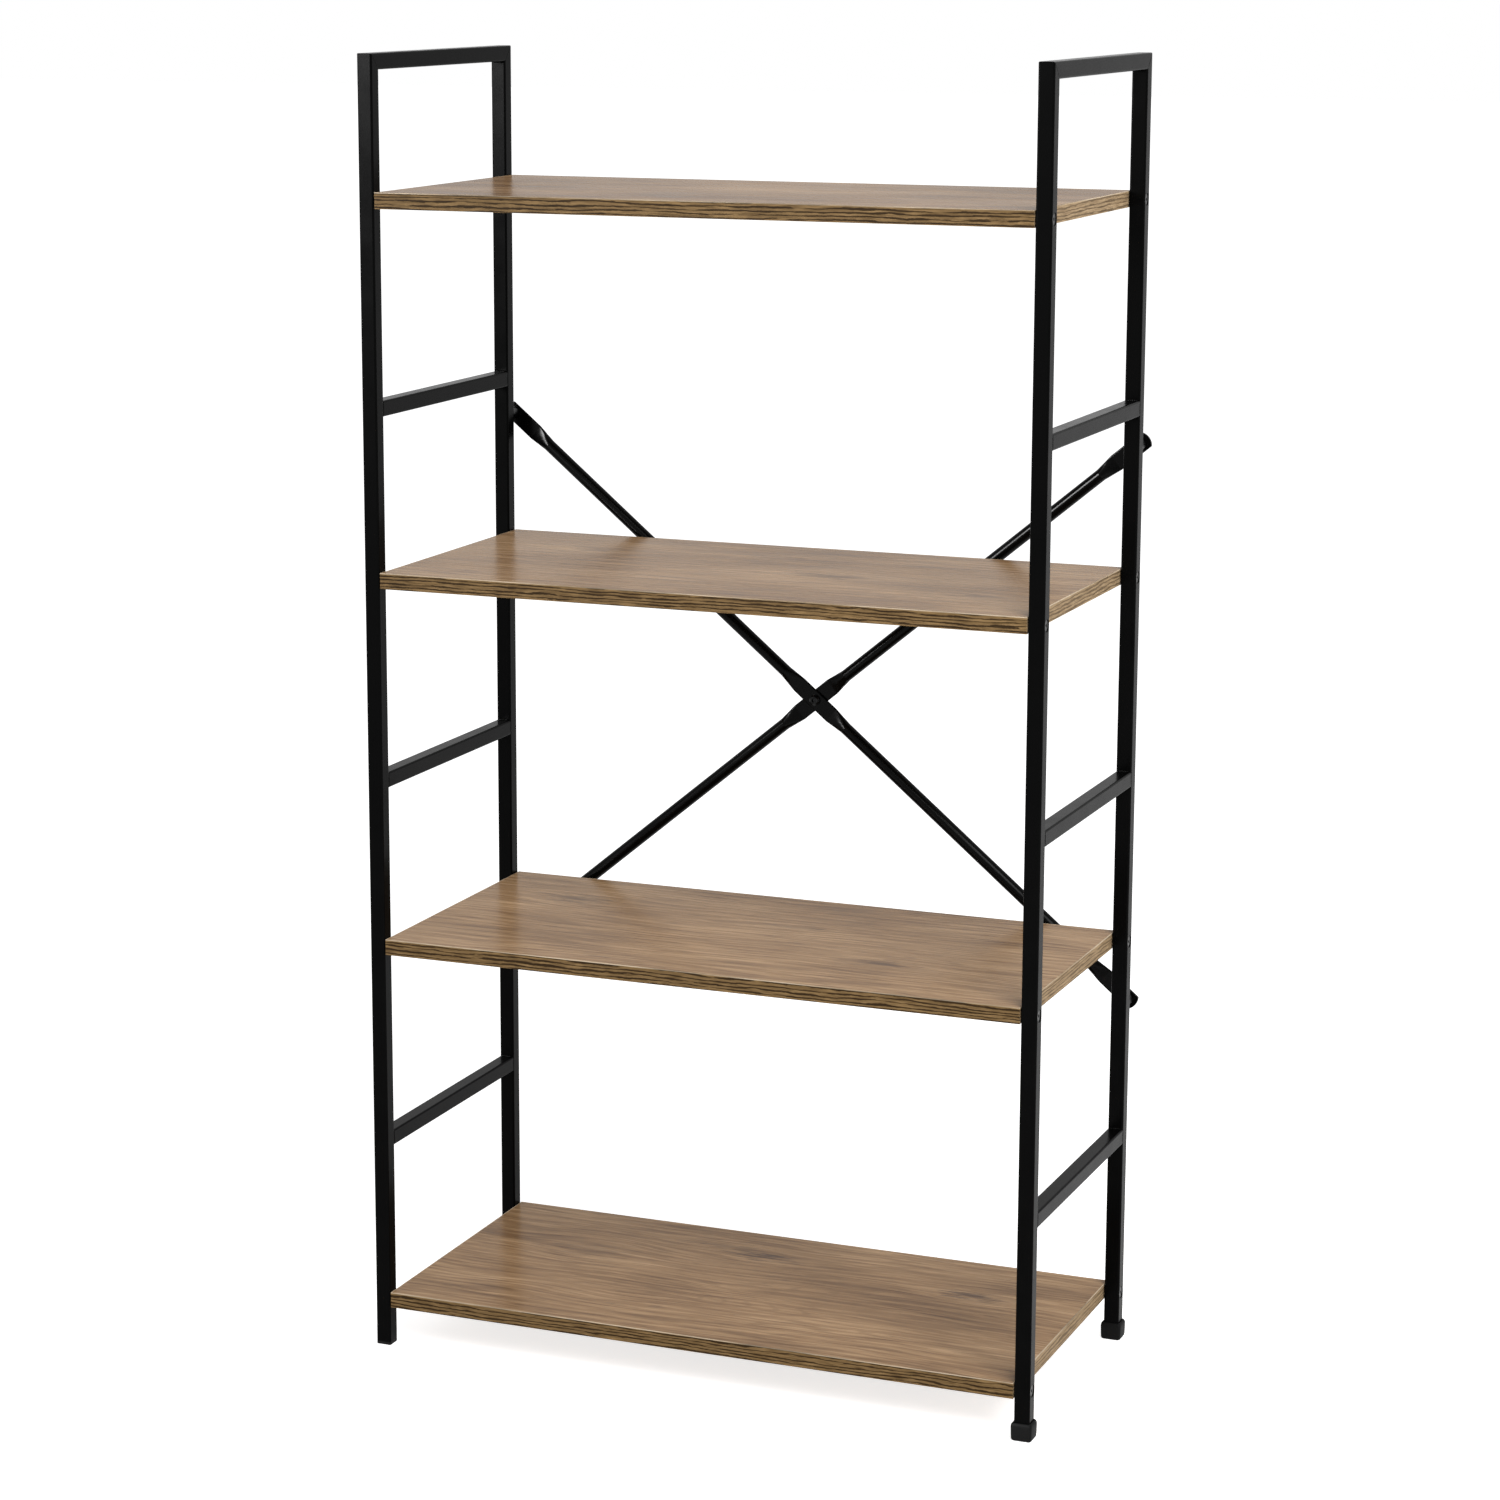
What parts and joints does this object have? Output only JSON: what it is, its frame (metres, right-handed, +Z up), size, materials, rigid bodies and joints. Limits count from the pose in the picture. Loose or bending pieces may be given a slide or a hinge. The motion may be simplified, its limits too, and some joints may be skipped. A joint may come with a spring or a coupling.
{
  "type": "shelving unit",
  "caption": "Open free-standing shelving unit: black square-tube ladder side frames, oak-look boards bolted between them and a crossed tubular back brace.",
  "frame": {"origin": "floor level, midway between the outermost points of the unit in width and in depth; the depth runs from the foot caps at the front to the brace's centre nut at the back", "axes": "+Z up, +Y to the back where the brace is, +X to the right seen from the front"},
  "size_m": [0.6662, 0.328, 1.232],
  "materials": {
    "frame_tube": "black powder coat, soft sheen",
    "brace_tube": "black powder coat, soft sheen",
    "oak_board": "rustic oak laminate, matt",
    "edge_band": "rustic oak edge band, matt",
    "black_bolt": "blackened steel",
    "plain_steel": "zinc-plated steel",
    "foot_rubber": "black, matt",
    "foot_plastic": "black, matt"
  },
  "bodies": {
    "root": {"left_front_post": "frame_tube", "left_rear_post": "frame_tube", "right_front_post": "frame_tube", "right_rear_post": "frame_tube", "left_top_rail": "frame_tube", "right_top_rail": "frame_tube", "left_lower_rung": "frame_tube", "left_middle_rung": "frame_tube", "left_upper_rung": "frame_tube", "right_lower_rung": "frame_tube", "right_middle_rung": "frame_tube", "right_upper_rung": "frame_tube", "rising_brace": "brace_tube", "falling_brace": "brace_tube", "bottom_shelf_board": "oak_board", "bottom_shelf_edge_bands": "edge_band", "bottom_shelf_bolts": "black_bolt", "bottom_shelf_inserts": "plain_steel", "lower_shelf_board": "oak_board", "lower_shelf_edge_bands": "edge_band", "lower_shelf_bolts": "black_bolt", "lower_shelf_inserts": "plain_steel", "upper_shelf_board": "oak_board", "upper_shelf_edge_bands": "edge_band", "upper_shelf_bolts": "black_bolt", "upper_shelf_inserts": "plain_steel", "top_shelf_board": "oak_board", "top_shelf_edge_bands": "edge_band", "top_shelf_bolts": "black_bolt", "top_shelf_inserts": "plain_steel", "brace_spacers": "black_bolt", "brace_bolts": "black_bolt", "brace_rivet_nuts": "plain_steel", "brace_centre_bolt": "black_bolt", "brace_centre_nut": "black_bolt", "right_front_foot_cap": "foot_rubber", "right_rear_foot_cap": "foot_rubber", "left_front_foot_plug": "foot_plastic", "left_rear_foot_plug": "foot_plastic"}
  },
  "joints": []
}
